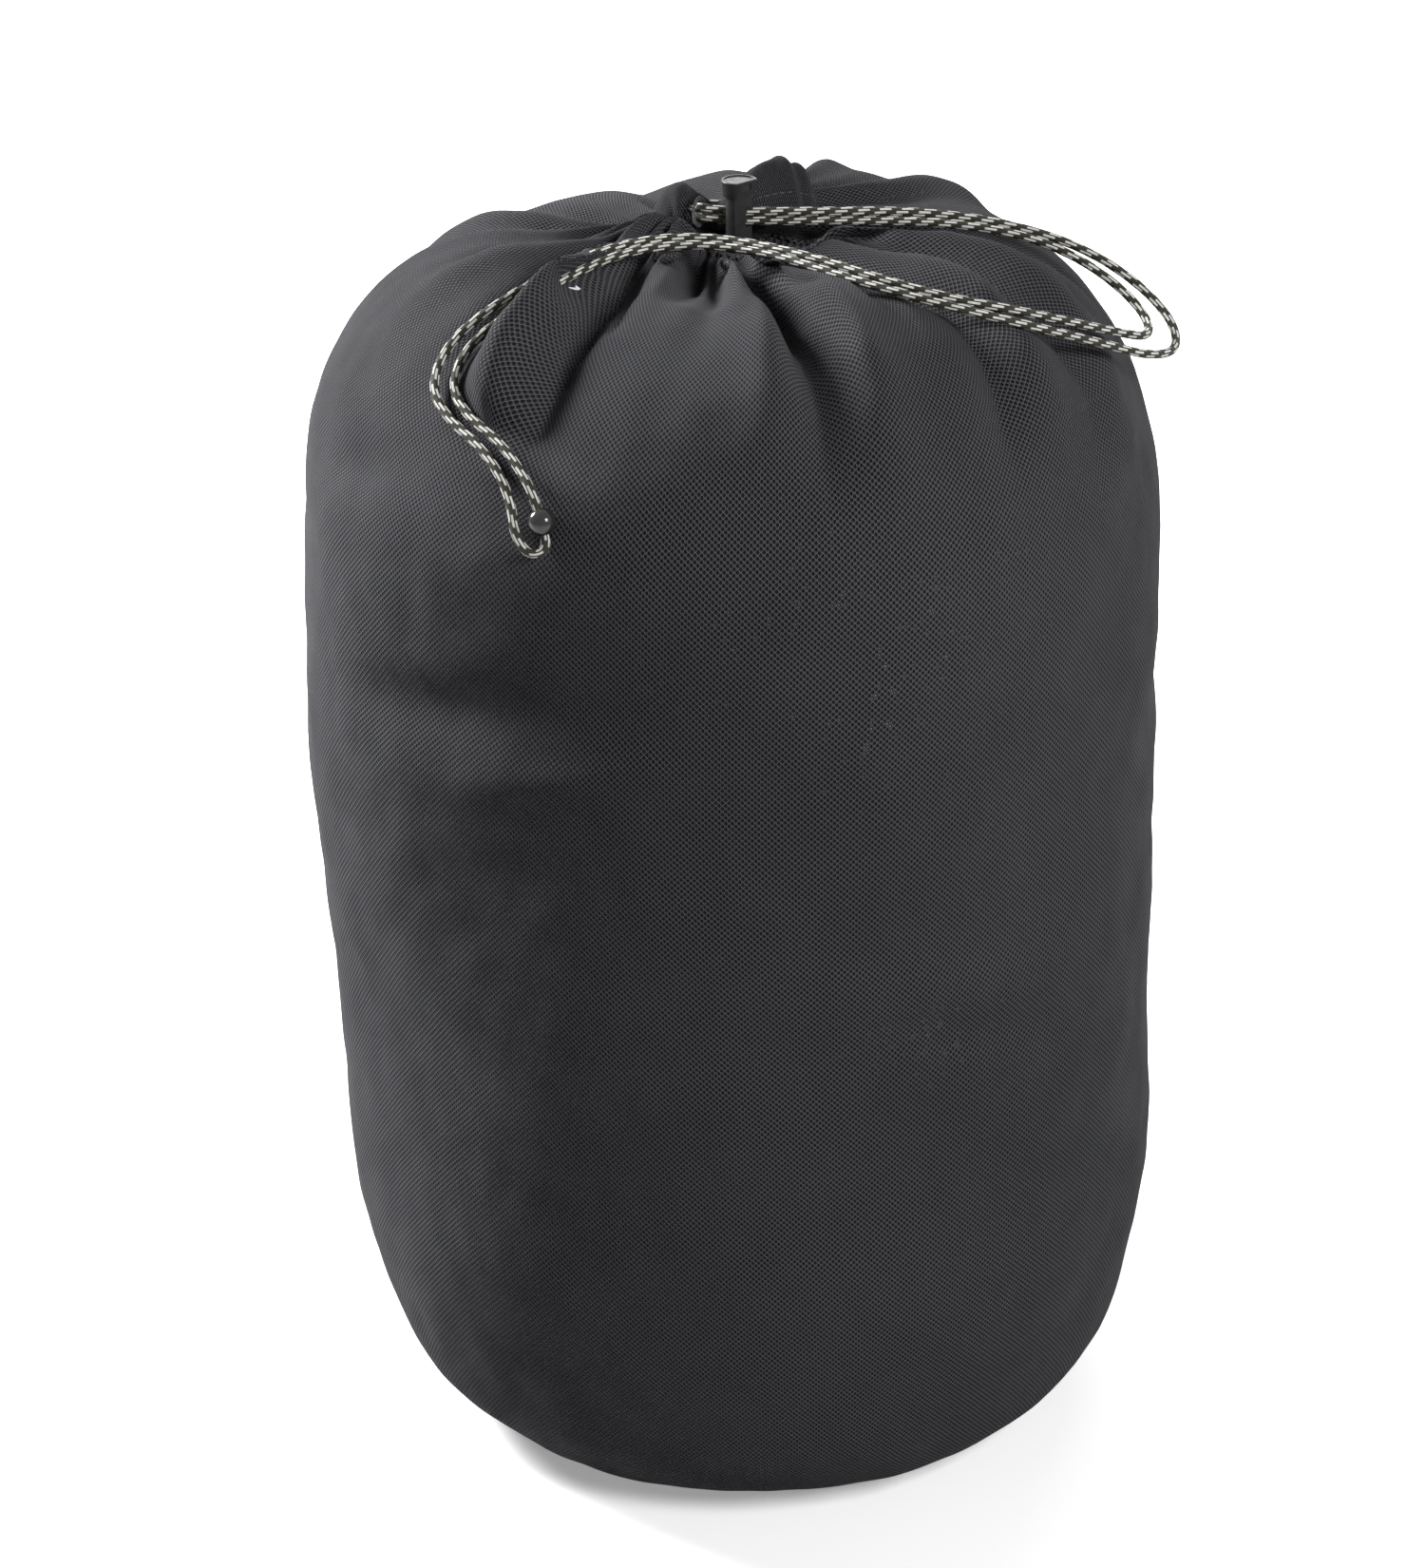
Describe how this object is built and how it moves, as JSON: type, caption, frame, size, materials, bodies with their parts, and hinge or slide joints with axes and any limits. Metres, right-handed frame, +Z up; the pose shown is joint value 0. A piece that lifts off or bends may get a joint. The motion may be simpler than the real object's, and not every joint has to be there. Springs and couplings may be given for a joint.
{
  "type": "drawcord mesh sack",
  "caption": "Round stuffed mesh storage sack standing on its base, its mouth drawn shut by a cord with a spring lock and a ball end.",
  "frame": {"origin": "middle of the base where the sack stands on the ground, cord and ball left out", "axes": "+Z up along the sack's axis, -Y the front, where the ball end hangs, +X to the right, where the cord loops over the shoulder"},
  "size_m": [0.3, 0.2998, 0.4637],
  "materials": {
    "mesh": "black warp-knit mesh with small staggered holes and a soft sheen",
    "tape": "black woven binding tape",
    "thread": "black polyester sewing thread",
    "stuffing": "pale soft bundle",
    "cord": "black braid with white tracer flecks",
    "bead": "smooth gloss black",
    "lock": "satin moulded black",
    "spring": "bright wire"
  },
  "bodies": {
    "sack": {"side_panel": "mesh", "base_panel": "mesh", "base_seam_tape": "tape", "base_seam_stitches": "thread", "side_seam_tape": "tape", "side_seam_stitches": "thread", "stuffed_contents": "stuffing", "hem_casing": "mesh", "hem_stitches": "thread", "exit_buttonhole": "thread", "drawcord_in_hem": "cord", "tail_strand_a": "cord", "tail_strand_b": "cord", "end_bead": "bead"},
    "cord_lock": {"lock_barrel": "lock", "lock_spring": "spring"},
    "plunger": {"lock_plunger": "lock"}
  },
  "joints": [
    {"name": "lock_on_cord", "type": "slide", "parent": "sack", "child": "cord_lock", "axis": [1, 0, 0], "range_m": [0, 0.015]},
    {"name": "plunger_press", "type": "slide", "parent": "cord_lock", "child": "plunger", "axis": [0, 0, -1], "range_m": [0, 0.003], "stiffness_N_per_m": 900, "springref_m": -0.002, "deforming": ["lock_spring"]}
  ]
}
